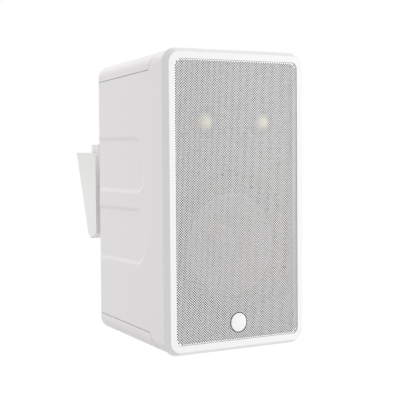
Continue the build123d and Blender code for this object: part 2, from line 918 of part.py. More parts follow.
with BuildPart() as pin_clip:
    with BuildSketch(level(-barrel_high - washer_fit, pivot_depth)):
        Circle(pin_head)
        Circle(pin_radius + pin_fit, mode=Mode.SUBTRACT)
    extrude(amount=-clip_thickness)
save(pin_clip.part, "pin_clip")

with BuildPart() as pivot_washers:
    for rise in (barrel_length / 2 + washer_fit, -barrel_length / 2 - washer_fit - washer):
        with BuildSketch(level(rise, pivot_depth)):
            Circle(barrel_radius)
            Circle(pin_radius + pin_fit, mode=Mode.SUBTRACT)
        extrude(amount=washer)
save(pivot_washers.part, "pivot_washers")

# Bracket wedge: hollow housing, open at the wall, with a middle barrel
slope = tan(radians(wedge_tilt))


def wall_face(rise):
    """Depth of the wall face behind the wedge's front, at a height."""
    return wedge_depth - (wedge_top - rise) * slope


top_front = (0, wedge_top - wedge_fall)
top_rear = (wedge_depth, wedge_top)
heel = (wall_face(-heel_drop), -heel_drop)
tip = (tip_depth, -tip_drop)
toe = (0, -toe_drop)
face_length = (wedge_top + heel_drop) / cos(radians(wedge_tilt))
wall_plane = Plane(
    origin=(0, front_y + wedge_front + (wedge_depth + heel[0]) / 2, mid_z + (wedge_top - heel_drop) / 2),
    x_dir=(-1, 0, 0),
    z_dir=(0, cos(radians(wedge_tilt)), -sin(radians(wedge_tilt))),
)
plate_seat = wall_plane.offset(-plate_thickness)
support_x = bar_width / 2 + bar_flange + support_clear


def beyond(start, end):
    """Point past the end of a line, as far again as the line is long."""
    return (2 * end[0] - start[0], 2 * end[1] - start[1])


with BuildPart() as support_ribs:
    for side in (-1, 1):
        with BuildSketch(sideways(side * support_x, wedge_front)):
            with BuildLine():
                Polyline(top_front, top_rear, heel, tip, toe, close=True)
            make_face()
            offset(amount=-bracket_wall / 2, kind=Kind.INTERSECTION)
        extrude(amount=support_rib / 2, both=True)
    split(bisect_by=plate_seat, keep=Keep.BOTTOM)

bar_top = wedge_top + bar_stand
bar_middle = bar_front + bar_depth / 2
top_at_flange = wedge_top - wedge_fall * (1 - (bar_front - bar_flange) / wedge_depth)
flange_top = top_at_flange - bracket_wall - bar_flange_gap
bar_bottom = flange_top - bar_flange
shelf_top = wedge_top - shelf_drop
spring_y = bar_front + spring_radius
shelf_front = bracket_wall / 2
shelf_back = spring_y + spring_radius

with BuildPart() as bracket_wedge:
    with BuildSketch(sideways(0, wedge_front)):
        with BuildLine():
            Polyline(top_front, top_rear, heel, tip, toe, close=True)
        make_face()
    extrude(amount=bracket_width / 2, both=True)
    fillet(edges().filter_by(Axis.X).group_by(Axis.Y)[0], wedge_round)
    with BuildSketch(sideways(0, wedge_front)):
        with BuildLine():
            Polyline(top_front, beyond(top_front, top_rear), beyond(tip, heel), tip, toe, close=True)
        make_face()
        offset(amount=-bracket_wall, kind=Kind.INTERSECTION)
    extrude(amount=bracket_width / 2 - bracket_wall, both=True, mode=Mode.SUBTRACT)
    add(support_ribs.part)
    with BuildSketch(level(shelf_top, wedge_front)):
        with Locations((0, (shelf_front + shelf_back) / 2)):
            Rectangle(shelf_width, shelf_back - shelf_front)
    extrude(amount=-shelf_thickness)
    with BuildSketch(level(shelf_top, wedge_front)):
        with Locations((0, spring_y)):
            Circle(spring_radius - spring_wall - shank_fit)
    extrude(amount=spring_boss)
    with BuildSketch(level(bar_bottom, wedge_front)):
        with Locations((0, bar_middle)):
            Rectangle(bar_width + 2 * bar_fit, bar_depth + 2 * bar_fit)
    extrude(amount=bar_top - bar_bottom, mode=Mode.SUBTRACT)
    with BuildSketch(level(-barrel_length / 2, pivot_depth)):
        Circle(barrel_radius)
        with Locations((0, (wedge_front - pivot_depth + bracket_wall / 2) / 2)):
            Rectangle(web, wedge_front - pivot_depth + bracket_wall / 2)
    extrude(amount=barrel_length)
    with BuildSketch(level(-barrel_length / 2, pivot_depth)):
        Circle(pin_radius + pin_fit)
    extrude(amount=barrel_length, mode=Mode.SUBTRACT)
save(bracket_wedge.part, "bracket_wedge")

# Wall plate: lies flush in the wedge's open face, with a window for the release bar's tooth
tooth_rise = wedge_top - tooth_drop
window_low = tooth_rise - tooth_height / 2 - bar_travel - window_clear
window_high = tooth_rise + tooth_height / 2 + window_clear
window_place = ((window_low + window_high) / 2 - (wedge_top - heel_drop) / 2) / cos(radians(wedge_tilt))
with BuildPart() as wall_plate:
    with BuildSketch(wall_plane):
        RectangleRounded(
            bracket_width - 2 * (bracket_wall + plate_fit), face_length - 2 * plate_margin, plate_radius
        )
        with PolarLocations(hole_circle / 2, hole_count, start_angle=hole_turn):
            Circle(hole_radius, mode=Mode.SUBTRACT)
        with Locations((0, window_place)):
            Rectangle(tooth_width + 2 * window_clear, window_high - window_low, mode=Mode.SUBTRACT)
    extrude(amount=-plate_thickness)
save(wall_plate.part, "wall_plate")

# Release bar with its catch, and the spring under it
arm_back = bar_front + bar_depth
tooth_back = wall_face(tooth_rise - tooth_height / 2 - bar_travel) - bar_fit
with BuildPart() as release_bar:
    with BuildSketch(level(bar_bottom, wedge_front)):
        with Locations((0, bar_middle)):
            Rectangle(bar_width, bar_depth)
    extrude(amount=bar_top - bar_bottom)
    fillet(faces().sort_by(Axis.Z)[-1].edges(), wedge_round)
    with BuildSketch(level(bar_bottom, wedge_front)):
        with Locations((0, bar_middle)):
            Rectangle(bar_width + 2 * bar_flange, bar_depth + 2 * bar_flange)
    extrude(amount=bar_flange)
    with BuildSketch(level(bar_bottom, wedge_front)):
        with Locations((0, arm_back - arm_thickness / 2)):
            Rectangle(arm_width, arm_thickness)
    extrude(amount=-(bar_bottom - tooth_rise + tooth_height / 2))
    with BuildSketch(level(tooth_rise - tooth_height / 2, wedge_front)):
        with Locations((0, (arm_back - arm_thickness + tooth_back) / 2)):
            Rectangle(tooth_width, tooth_back - arm_back + arm_thickness)
    extrude(amount=tooth_height)
save(release_bar.part, "release_bar")

with BuildPart() as latch_spring:
    with BuildSketch(level(shelf_top, wedge_front)):
        with Locations((0, spring_y)):
            Circle(spring_radius)
            Circle(spring_radius - spring_wall, mode=Mode.SUBTRACT)
    extrude(amount=bar_bottom - shelf_top)
save(latch_spring.part, "latch_spring")
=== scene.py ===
"""Outdoor wall speaker: finishes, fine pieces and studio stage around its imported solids.

Metres, +Z up, grille towards -Y. Each group of pieces has its own operator, and the sizes and colours
that someone would change are properties.
"""

from math import cos, pi, radians, sin

import bmesh
import bpy
import numpy as np
from bpy.props import FloatProperty, FloatVectorProperty, IntProperty, PointerProperty
from mathutils import Matrix, Vector


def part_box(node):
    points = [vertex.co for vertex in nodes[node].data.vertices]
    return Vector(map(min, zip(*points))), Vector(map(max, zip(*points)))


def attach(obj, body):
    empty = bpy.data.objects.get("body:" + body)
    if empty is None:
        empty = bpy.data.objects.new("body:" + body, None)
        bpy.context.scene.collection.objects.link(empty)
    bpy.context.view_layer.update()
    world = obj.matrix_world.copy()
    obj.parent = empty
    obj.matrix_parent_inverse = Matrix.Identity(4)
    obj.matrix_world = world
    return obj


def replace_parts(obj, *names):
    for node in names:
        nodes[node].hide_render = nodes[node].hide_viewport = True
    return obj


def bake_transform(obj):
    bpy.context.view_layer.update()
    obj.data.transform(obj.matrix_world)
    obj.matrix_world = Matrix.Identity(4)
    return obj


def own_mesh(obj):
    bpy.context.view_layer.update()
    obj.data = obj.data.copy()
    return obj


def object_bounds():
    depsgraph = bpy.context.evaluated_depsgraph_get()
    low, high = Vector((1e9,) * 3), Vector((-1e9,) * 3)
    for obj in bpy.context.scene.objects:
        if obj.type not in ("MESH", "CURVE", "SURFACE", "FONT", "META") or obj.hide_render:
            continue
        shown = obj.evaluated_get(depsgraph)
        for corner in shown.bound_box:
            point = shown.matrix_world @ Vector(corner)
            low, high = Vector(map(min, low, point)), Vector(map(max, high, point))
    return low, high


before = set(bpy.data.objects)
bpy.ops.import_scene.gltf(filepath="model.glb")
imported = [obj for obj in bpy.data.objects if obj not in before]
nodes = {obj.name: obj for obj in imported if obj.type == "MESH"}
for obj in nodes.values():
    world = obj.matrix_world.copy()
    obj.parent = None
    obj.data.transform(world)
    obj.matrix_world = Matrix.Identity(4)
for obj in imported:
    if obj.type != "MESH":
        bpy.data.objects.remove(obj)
cad_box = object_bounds()

bl_info = {
    "name": "Outdoor Wall Speaker",
    "version": (1, 0, 0),
    "blender": (4, 5, 0),
    "location": "View3D > Sidebar > Speaker",
    "description": "Perforated grille, finishes and stage of a wall speaker",
    "category": "Add Mesh",
}

MM = 0.001
WORLD_UP = (0.0, 0.0, 1.0)
WHITE = (1.0, 1.0, 1.0, 1.0)
WELD = 1e-7
SHARP = radians(35)
SCREW_SHARP = radians(30)
WIRE_SHARP = radians(60)
ROUND_STEPS = 72
BAKE_SLANT = 0.3

# How far the trim's painted shade, a dark tone in the grille's opening behind the sheet, reaches past
# the grille's outline
OPENING_SHADE_REACH = 3 * MM

STEEL_ROUGHNESS = {"zinc_plate": 0.4, "stainless": 0.3}

# Pan heads: shares of the head's rise, then of its radius
CROWN_FALL, RECESS_DEPTH = 0.25, 0.7
SLOT_HALF, SLOT_SOFT = 0.16, 0.06
SLOT_REACH, REACH_SOFT = 0.62, 0.08


def number(name, text, default, **kind):
    """Property for a number, with its unit or limits if it has any."""
    return FloatProperty(name=name, description=text, default=default, **kind)


def length(name, text, millimetres):
    """Property for a length."""
    return number(name, text, millimetres * MM, unit="LENGTH", precision=5)


def whole(name, text, default, least=1):
    """Property for a whole number."""
    return IntProperty(name=name, description=text, default=default, min=least)


def vector(name, text, default, **kind):
    """Property for several numbers, with their unit or limits if they have any."""
    return FloatVectorProperty(name=name, description=text, default=default, size=len(default), **kind)


def metres(name, text, default):
    """Property for a place, or for several measures, in metres."""
    return vector(name, text, default, unit="LENGTH", precision=5)


def colour(name, text, default):
    """Property for a linear colour."""
    return vector(name, text, default, subtype="COLOR", min=0.0, max=1.0)


class GrilleSizes(bpy.types.PropertyGroup):
    """Sizes of the perforated sheet and the badge on it."""

    hole_pitch: length("Hole pitch", "From hole to hole in a column", 2.68)
    column_pitch: length("Column pitch", "From column to column", 1.53)
    hole_radius: length("Hole radius", "Middle of a hole to its corners", 0.895)
    sheet: length("Sheet", "Thickness of the sheet", 0.25)
    margin: length("Margin", "Solid border around the holes", 0.3)
    bend: length("Bend", "Radius of the bent rim", 0.25)
    corner: length("Corner", "Corner radius of the sheet", 6.8)
    bands: whole("Bands", "Pieces that the holes are split into", 4)
    # The dark ring in the badge's gap is painted shade, standing in for the gap's shadow.
    badge_rim: length("Badge rim", "Width of the dark gap around the badge", 0.8)
    badge_drop: length("Badge drop", "From the trim's front to the badge's middle", 0.4)
    badge_dome: length("Badge dome", "Rise of the badge's middle above its edge", 0.35)
    badge_edge: length("Badge edge", "Radius of the badge's rounded edge", 0.35)
    badge_gap: length("Badge gap", "Thickness of the dark ring in the gap", 0.3)


class FittingSizes(bpy.types.PropertyGroup):
    """Sizes of the woofer's surround and spider, the posts, screws and latch spring behind."""

    surround_foot: length("Surround foot", "Flat foot on each side of the roll", 2.4)
    surround_roll: length("Surround roll", "Width of the half roll", 12.6)
    surround_sheet: length("Surround sheet", "Thickness of the rubber", 0.8)
    surround_fixed: length("Surround fixed", "Rubber that stays with the basket", 5.1)
    spider_inner: length("Spider inner", "Radius where it joins the coil", 17.3)
    spider_foot: length("Spider foot", "Width of the flat foot on the basket", 6.0)
    spider_cloth: length("Spider cloth", "Thickness of the cloth", 0.8)
    spider_waves: whole("Spider waves", "Rings of the corrugation", 4)
    sectors: whole("Sectors", "Sectors of the surround, and of the spider", 12, 6)
    post_collar: length("Post collar", "Length of a binding post's collar", 4.0)
    post_step: length("Post step", "From the collar's radius in to the grip's", 1.0)
    post_stem: length("Post stem", "Radius of the stem in the cabinet", 2.6)
    post_socket: length("Post socket", "Radius of the plug socket", 2.0)
    socket_depth: length("Socket depth", "Depth of the plug socket", 6.0)
    post_edge: length("Post edge", "Width of a post's bevelled edges", 0.5)
    knurls: whole("Knurls", "Ridges around a grip", 24, 8)
    knurl_depth: length("Knurl depth", "From a ridge's crest to its mean", 0.28)
    dock_screw: metres(
        "Dock screw", "Head's radius and height, shank's radius", (3.5 * MM, 2.0 * MM, 1.75 * MM)
    )
    terminal_screw: metres(
        "Terminal screw", "Head's radius and height, shank's radius", (2.6 * MM, 1.4 * MM, 1.25 * MM)
    )
    spring_wire: length("Spring wire", "Radius of the latch spring's wire", 0.5)
    spring_turns: number("Spring turns", "Turns of the latch spring", 7.0)
    spring_press: length("Spring press", "Stroke of the release bar", 4.0)


class Finishes(bpy.types.PropertyGroup):
    """Colours of the finishes."""

    cabinet_white: colour("Cabinet", "Fine-textured moulding", (0.832, 0.81, 0.815))
    bracket_white: colour("Bracket", "Smooth moulding", (0.83, 0.825, 0.815))
    trim_white: colour("Trim", "Satin moulding", (0.88, 0.866, 0.868))
    grille_white: colour("Grille", "Powder coat", (0.86, 0.856, 0.856))
    badge_white: colour("Badge", "Polished badge", (0.88, 0.88, 0.875))
    baffle_black: colour("Baffle", "Black moulding", (0.045, 0.046, 0.05))
    cone_grey: colour("Cone", "Moulded cone", (0.13, 0.13, 0.135))
    # Black of the rubber parts, also used for the painted shade in the trim's opening and in the badge's
    # gap.
    rubber_and_shade_black: colour("Rubber", "Surrounds and seals", (0.035, 0.035, 0.036))
    # Crown tone of the domes' painted glint; their edges take a share of it as painted shade.
    dome_gold: colour("Dome", "Anodised domes", (0.62, 0.57, 0.37))
    steel: colour("Steel", "Screws, pin and plates", (0.56, 0.56, 0.57))
    black_steel: colour("Black steel", "Screws behind the grille", (0.03, 0.03, 0.032))
    copper: colour("Copper", "Windings", (0.70, 0.36, 0.18))
    ferrite: colour("Ferrite", "Magnets", (0.07, 0.07, 0.075))
    cloth: colour("Cloth", "Varnished spider", (0.52, 0.37, 0.15))
    board_green: colour("Board", "Circuit board", (0.03, 0.20, 0.08))
    film_yellow: colour("Film", "Capacitors", (0.62, 0.46, 0.10))
    wadding_white: colour("Wadding", "Polyester wadding", (0.80, 0.80, 0.78))
    terminal_black: colour("Black terminal", "Black moulding", (0.03, 0.03, 0.032))
    terminal_red: colour("Red terminal", "Red moulding", (0.45, 0.02, 0.02))
    nylon: colour("Nylon", "Washers", (0.72, 0.71, 0.68))


class StageSetup(bpy.types.PropertyGroup):
    """Camera, floor and light."""

    camera_place: metres("Camera", "Place of the camera", (-0.77455, -1.17095, 0.21593))
    heading: number("Heading", "Camera's turn from the front", radians(34.63), subtype="ANGLE")
    pitch: number("Pitch", "Camera's tilt down", radians(2.455), subtype="ANGLE")
    roll: number("Roll", "Camera's roll", radians(0.436), subtype="ANGLE")
    lens: number("Lens", "Focal length", 110.95, unit="CAMERA")
    floor_size: number("Floor", "Side of the floor", 12.0, unit="LENGTH")
    floor_paper: number("Floor paper", "Reflectance of the floor", 0.86, min=0.0, max=1.0)
    floor_white: number("Floor white", "How bright the floor shows", 1.06)
    floor_bounce: number("Floor bounce", "Light that the floor gives back", 0.74)
    floor_share: number("Floor share", "Part of its look that is its own light", 0.9, min=0.0, max=1.0)
    ambient: number("Ambient", "Light of the studio's walls", 0.76)
    dark_side: vector("Dim side", "Direction of the dim side", (-0.9, 0.43, 0.0), subtype="DIRECTION")
    dark_share: number("Dim share", "Light of the dim side, as a share", 0.78, min=0.0, max=1.0)
    front_light: number("Front light", "Power", 55.0, unit="POWER")
    front_place: metres("Front light's place", "To the right of the front", (2.66, -2.27, 0.4))
    front_size: metres("Front light's size", "Width and height", (0.9, 0.6))
    back_light: number("Back light", "Power", 0.9, unit="POWER")
    back_place: metres("Back light's place", "Low behind the left side", (-0.62, 1.0, 0.08))
    back_size: metres("Back light's size", "Width and height", (0.4, 0.14))
    top_light: number("Top light", "Power", 31.0, unit="POWER")
    top_place: metres("Top light's place", "Behind and above", (-0.6, 2.2, 2.0))
    top_size: metres("Top light's size", "Width and height", (0.9, 0.9))


class Shade:
    """One socket of a material's nodes. Arithmetic on it adds Math nodes; node() adds any other."""

    def __init__(self, tree, socket=None):
        self.tree = tree
        self.socket = socket

    def node(self, kind, settings=None, sockets=None, out=0):
        """New node: its settings first, then a value or a link for each socket."""
        made = self.tree.nodes.new("ShaderNode" + kind)
        for name, value in (settings or {}).items():
            setattr(made, name, value)
        for key, value in (sockets or {}).items():
            if isinstance(value, Shade):
                self.tree.links.new(value.socket, made.inputs[key])
            else:
                made.inputs[key].default_value = value
        return Shade(self.tree, made.outputs[out])

    def maths(self, operation, first, second=0.0):
        """Math node on one or two values."""
        return self.node("Math", {"operation": operation}, {0: first, 1: second})

    def __add__(self, other):
        return self.maths("ADD", self, other)

    __radd__ = __add__

    def __mul__(self, other):
        return self.maths("MULTIPLY", self, other)

    __rmul__ = __mul__

    def __sub__(self, other):
        return self.maths("SUBTRACT", self, other)

    def __rsub__(self, other):
        return self.maths("SUBTRACT", other, self)

    def place(self):
        """Object coordinates."""
        return self.node("TexCoord", out="Object")

    def noise(self, grain, detail=2.0, vector=None):
        """Noise about 0.5, with features of a size in millimetres."""
        sockets = {"Vector": vector or self.place(), "Scale": 1.0 / (grain * MM), "Detail": detail}
        return self.node("TexNoise", None, sockets)

    def part(self, axis):
        """One object coordinate, X, Y or Z."""
        return self.node("SeparateXYZ", None, {0: self.place()}, axis)

    def wave(self, axis, run):
        """Sine along an object axis, with a wavelength in millimetres."""
        return self.maths("SINE", self.part(axis) * (2 * pi / (run * MM)))

    def tint(self, factor, first, second):
        """Mix of two colours, each a value or a Shade."""
        ends = [end if isinstance(end, Shade) else (*end, 1.0) for end in (first, second)]
        return self.node("Mix", {"data_type": "RGBA"}, {0: factor, 6: ends[0], 7: ends[1]}, out=2)

    def bump(self, height, distance):
        """Normal of a surface raised by a height of 0 to 1 times a distance in millimetres."""
        return self.node("Bump", None, {"Height": height, "Distance": distance * MM, "Strength": 1.0})


def finish(name, base, roughness, metallic=0.0, coat=0.0, specular=0.5):
    """New material with one colour; gives it with its shader and a Shade of its tree."""
    made = bpy.data.materials.new(name)
    made.use_nodes = True
    shader = made.node_tree.nodes["Principled BSDF"]
    values = {
        "Base Color": (*base, 1.0), "Roughness": roughness, "Metallic": metallic, "Coat Weight": coat,
        "Specular IOR Level": specular,
    }
    for key, value in values.items():
        shader.inputs[key].default_value = value
    return made, shader, Shade(made.node_tree)


def feed(shader, **links):
    """Links what changes over the surface to the shader's sockets."""
    for name, value in links.items():
        value.tree.links.new(value.socket, shader.inputs[name.replace("_", " ")])


def scaled(base, factor):
    """A colour times a factor, kept within 1."""
    return tuple(min(1.0, value * factor) for value in base)


def around(mask, middle, spread):
    """Values about a middle, from a mask of 0 to 1."""
    return mask * spread + (middle - spread / 2)


def texture(shader, shade, mask, base, roughness, tones, spread, depth):
    """Feeds a shader's tone, gloss and relief from one mask.

    tones are the base colour's factors where the mask is 0 and 1, spread is the range of roughness and
    depth the relief's height in millimetres.
    """
    feed(
        shader,
        Base_Color=shade.tint(mask, scaled(base, tones[0]), scaled(base, tones[1])),
        Roughness=around(mask, roughness, spread),
        Normal=shade.bump(mask, depth),
    )


def in_opening(shade):
    """1 behind the grille's front and within the reach of the trim's painted shade around its outline,
    else 0.
    """
    low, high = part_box("grille")
    middle = (low + high) / 2
    reach = (high - low) / 2 + Vector((OPENING_SHADE_REACH, 0.0, OPENING_SHADE_REACH))
    across = shade.maths("ABSOLUTE", shade.part("X") - middle.x)
    along = shade.maths("ABSOLUTE", shade.part("Z") - middle.z)
    behind = shade.maths("GREATER_THAN", shade.part("Y"), low.y)
    inside = shade.maths("LESS_THAN", across, reach.x) * shade.maths("LESS_THAN", along, reach.z)
    return inside * behind


def moulded(name, base, roughness, grain=0.5, depth=0.01, specular=0.5, opening_shade=None, clouds=90):
    """Moulded plastic: eroded-tool grain as bump, and slight drifts of tone and gloss.

    The opening's colour, if given, is painted shade: a dark colour for what lies in the grille's
    opening, behind its sheet, where the sheet shades it.
    """
    made, shader, shade = finish(name, base, roughness, specular=specular)
    fine = shade.noise(grain, detail=3.0)
    drift = shade.noise(clouds)
    tone = shade.tint(drift * 0.6 + fine * 0.4, scaled(base, 0.985), scaled(base, 1.012))
    # Painted shade: a dark tone inside the grille's opening, behind the sheet.
    if opening_shade:
        tone = shade.tint(in_opening(shade), tone, opening_shade)
    gloss = around(fine, roughness, spread=0.12)
    feed(shader, Base_Color=tone, Roughness=gloss, Normal=shade.bump(fine, depth))
    return made


def powder_coat(name, base, roughness, grain=1.1, depth=0.03):
    """Sprayed coat: soft orange peel and a little tone."""
    made, shader, shade = finish(name, base, roughness)
    peel = shade.noise(grain, detail=1.5)
    texture(shader, shade, peel, base, roughness, tones=(0.97, 1.02), spread=0.16, depth=depth)
    return made


def brushed(name, base, roughness, axis, line=0.25, run=9, depth=0.012):
    """Drawn metal: noise stretched along one axis."""
    made, shader, shade = finish(name, base, roughness, metallic=1.0)
    stretch = [1.0 / line] * 3
    stretch[axis] = 1.0 / run
    drawn = shade.node("Mapping", None, {"Vector": shade.place(), "Scale": stretch})
    lines = shade.noise(1.0, detail=3.0, vector=drawn)
    texture(shader, shade, lines, base, roughness, tones=(0.82, 1.12), spread=0.22, depth=depth)
    return made


def drawn_steel(name, paint):
    """Steel that several groups share: the finish of that name, or else a new one."""
    made = bpy.data.materials.get(name)
    return made or brushed(name, paint.steel, STEEL_ROUGHNESS[name], axis=0)


def dome_with_painted_glint(name, base, roughness, axes, radius, flat=0.1, dark=0.15, grain=0.4, depth=0.004):
    """Anodised dome with a painted glint: a bright crown as painted highlight, darker towards its edge
    as painted shade.

    axes holds |x| and z of the domes' axes. The share of the crown's tone is a smooth step of the
    distance sqrt((|x| - ax)^2 + (z - az)^2), from the radius to the flat share of it. dark is the
    edge's painted shade, as a share of the crown's tone.
    """
    made, shader, shade = finish(name, base, roughness, metallic=1.0)
    across = shade.maths("ABSOLUTE", shade.part("X")) - axes[0]
    along = shade.part("Z") - axes[1]
    away = shade.maths("SQRT", across * across + along * along)
    # Painted glint: the tone is brightest at the crown and falls to a share of it at the edge, as
    # painted highlight and shade.
    crown = shade.node("MapRange", {"interpolation_type": "SMOOTHSTEP"}, {
        "Value": away, "From Min": radius, "From Max": flat * radius, "To Min": 0.0, "To Max": 1.0,
    })
    fine = shade.noise(grain)
    tone, gloss = shade.tint(crown, scaled(base, dark), base), around(fine, roughness, spread=0.1)
    feed(shader, Base_Color=tone, Roughness=gloss, Normal=shade.bump(fine, depth))
    return made


def rubbery(name, base, roughness, pore=0.5, depth=0.05):
    """Rubber or foam: fine pores and a dusty drift."""
    made, shader, shade = finish(name, base, roughness, specular=0.35)
    pores = shade.noise(pore, detail=3.0)
    texture(shader, shade, pores, base, roughness, tones=(0.8, 1.35), spread=0.2, depth=depth)
    return made


def woven(name, base, thread, roughness=0.775, depth=0.12):
    """Cloth: two crossing sets of threads as waves along X and Z."""
    made, shader, shade = finish(name, base, roughness, specular=0.3)
    weave = shade.wave("X", thread) * shade.wave("Z", thread) * 0.5 + 0.5
    texture(shader, shade, weave, base, roughness, tones=(0.7, 1.15), spread=0.15, depth=depth)
    return made


def wound(name, base, turn, roughness=0.35, depth=0.15):
    """Varnished winding: ridges of wire along Y, glossier on their crests."""
    made, shader, shade = finish(name, base, roughness, metallic=0.9, coat=0.4)
    ridge = shade.wave("Y", turn) * 0.5 + 0.5
    texture(shader, shade, ridge, base, roughness, tones=(0.55, 1.1), spread=-0.2, depth=depth)
    return made


def fibrous(name, base, clump=6, roughness=0.93, depth=1.5):
    """Wadding: tangled fibre clumps."""
    made, shader, shade = finish(name, base, roughness, specular=0.1)
    tangle = shade.noise(clump, detail=8.0)
    texture(shader, shade, tangle, base, roughness, tones=(0.72, 1.08), spread=0.1, depth=depth)
    return made


def soldered_board(name, base, cell=7, track=0.09, roughness=0.39, depth=0.04):
    """Circuit board: solder mask with paler, glossier tracks from a cell pattern."""
    made, shader, shade = finish(name, base, roughness, coat=0.3)
    cells = shade.node(
        "TexVoronoi", {"feature": "DISTANCE_TO_EDGE", "distance": "EUCLIDEAN"},
        {"Vector": shade.place(), "Scale": 1.0 / (cell * MM)},
    )
    tracks = shade.maths("LESS_THAN", cells, track)
    texture(shader, shade, tracks, base, roughness, tones=(1.0, 2.1), spread=-0.12, depth=depth)
    return made


def grid_faces(rows, columns):
    """Corner indices of the quads of a grid whose columns go round and meet."""
    r, c = np.meshgrid(np.arange(rows - 1), np.arange(columns), indexing="ij")
    after = (c + 1) % columns
    corners = (r * columns + c, r * columns + after, (r + 1) * columns + after, (r + 1) * columns + c)
    return np.stack([x.ravel() for x in corners], 1)


def new_piece(name, points, faces, material, body, smooth=True):
    """Mesh object from an array of points and one of four corners for each face.

    It rides on a body, or on none.
    """
    mesh = bpy.data.meshes.new(name)
    mesh.vertices.add(len(points))
    mesh.vertices.foreach_set("co", np.asarray(points, np.float32).ravel())
    mesh.loops.add(faces.size)
    mesh.loops.foreach_set("vertex_index", np.asarray(faces, np.int32).ravel())
    mesh.polygons.add(len(faces))
    mesh.polygons.foreach_set("loop_start", np.arange(0, faces.size, faces.shape[1], dtype=np.int32))
    mesh.polygons.foreach_set("use_smooth", np.full(len(faces), smooth))
    mesh.update(calc_edges=True)
    mesh.validate()
    mesh.materials.append(material)
    piece = bpy.data.objects.new(name, mesh)
    bpy.context.scene.collection.objects.link(piece)
    if body:
        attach(piece, body)
    return piece


def sew_up(piece, angle=SHARP):
    """Merges seams and poles, turns the faces outwards and marks edges over an angle as sharp."""
    work = bmesh.new()
    work.from_mesh(piece.data)
    bmesh.ops.remove_doubles(work, verts=work.verts, dist=WELD)
    bmesh.ops.recalc_face_normals(work, faces=work.faces)
    work.to_mesh(piece.data)
    work.free()
    piece.data.set_sharp_from_angle(angle=angle)
    return piece


def turned(centre, profile, steps, reach=None):
    """Points of a turned piece: a profile of radius and Y, carried round an axis along Y.

    x = cx + r cos t and z = cz + r sin t. reach, if given, is a function of t that adds to r, with a
    row for each profile point.
    """
    profile = np.asarray(profile, float)
    turn = np.linspace(0.0, 2 * pi, steps, endpoint=False)
    radius = np.repeat(profile[:, :1], steps, 1)
    if reach is not None:
        radius = radius + reach(turn)
    x, z = centre[0] + radius * np.cos(turn), centre[1] + radius * np.sin(turn)
    return np.stack([x, np.repeat(profile[:, 1:], steps, 1), z], -1).reshape(-1, 3)


def turned_piece(name, centre, profile, steps, material, reach=None):
    """Turned closed piece on the cabinet; see turned()."""
    points = turned(centre, profile, steps, reach)
    faces = grid_faces(len(profile), steps)
    return sew_up(new_piece(name, points, faces, material, "cabinet"))


def flexing_ring(name, node, front, back, sectors, material, fixed, moving, steps=6):
    """Ring from the woofer's basket to its cone, in sectors.

    The section is a loop of (r, y): the front line outwards and the back line inwards. It is turned
    about the woofer's axis through a sector's angle, x = cx + r cos t and z = cz + r sin t, and closed
    at its ends. The points that fixed and moving give on each sector's middle line are not used.
    """
    low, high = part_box(node)
    cx, cz = (low.x + high.x) / 2, (low.z + high.z) / 2
    loop = np.concatenate([front, back[::-1]])
    radius, y = loop[:, 0], np.broadcast_to(loop[:, 1], (steps + 1, len(loop)))
    i = np.arange(len(front) - 1)
    cap = np.stack([i, i + 1, len(loop) - 2 - i, len(loop) - 1 - i], 1)
    faces = np.concatenate([grid_faces(steps + 1, len(loop)), cap, cap + steps * len(loop)])
    width, hub = 2 * pi / sectors, Vector((cx, high.y, cz))
    for index in range(sectors):
        turn = np.linspace(index * width, (index + 1) * width, steps + 1)[:, None]
        points = np.stack([cx + radius * np.cos(turn), y, cz + radius * np.sin(turn)], -1).reshape(-1, 3)
        piece = new_piece(f"{name}_{index + 1}", points, faces, material, None)
        sew_up(piece)
        aim = Vector((cos((index + 0.5) * width), 0.0, sin((index + 0.5) * width)))
        hub + aim * fixed
        hub + aim * moving
        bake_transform(piece)
        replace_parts(piece, node)


def smooth_step(x, run):
    """0 below zero, 1 above a run, 3 t^2 - 2 t^3 between."""
    t = np.clip(x / run, 0.0, 1.0)
    return t * t * (3 - 2 * t)


def pan_screw(tip, seat, head, rise, shank, steps=48, rings=14):
    """Points and faces of one pan-head screw on the Y axis, head towards +Y, with a crossed recess.

    The head's top is y = top - f (r / head)^2, less d s(w - min(|x|, |z|)) s(l - r) for the recess. f is
    the crown's fall, d the recess's depth, w half a slot's width, l its reach and s a smooth step.
    """
    top = seat + rise
    ring = np.linspace(1.0, 0.0, rings)
    crown = np.stack([head * ring, top - CROWN_FALL * rise * ring**2], 1)
    profile = np.concatenate([[(0.0, tip), (shank, tip), (shank, seat), (head, seat)], crown])
    points = turned((0.0, 0.0), profile, steps)
    x, z = np.abs(points[:, 0]), np.abs(points[:, 2])
    slot = smooth_step(SLOT_HALF * head - np.minimum(x, z), SLOT_SOFT * head)
    reach = smooth_step(SLOT_REACH * head - np.hypot(x, z), REACH_SOFT * head)
    on_top = points[:, 1] > seat + rise / 2
    points[:, 1] -= np.where(on_top, RECESS_DEPTH * rise * slot * reach, 0.0)
    return points, grid_faces(len(profile), steps)


def pan_screws(node, head, rise, shank, material):
    """Cabinet screws of one node, two in a row or four at a rectangle's corners; see pan_screw()."""
    low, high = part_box(node)
    across, along = (low.x + head, high.x - head), (low.z + head, high.z - head)
    if along[1] - along[0] < head:
        along = (sum(along) / 2,)
    points, faces = pan_screw(low.y, high.y - rise, head, rise, shank)
    places = np.array([(x, 0.0, z) for x in across for z in along])
    index = np.arange(len(places))[:, None, None]
    piece = new_piece(
        node + "_crossed", (points + places[:, None]).reshape(-1, 3),
        (faces + index * len(points)).reshape(-1, 4), material, "cabinet",
    )
    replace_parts(sew_up(piece, SCREW_SHARP), node)


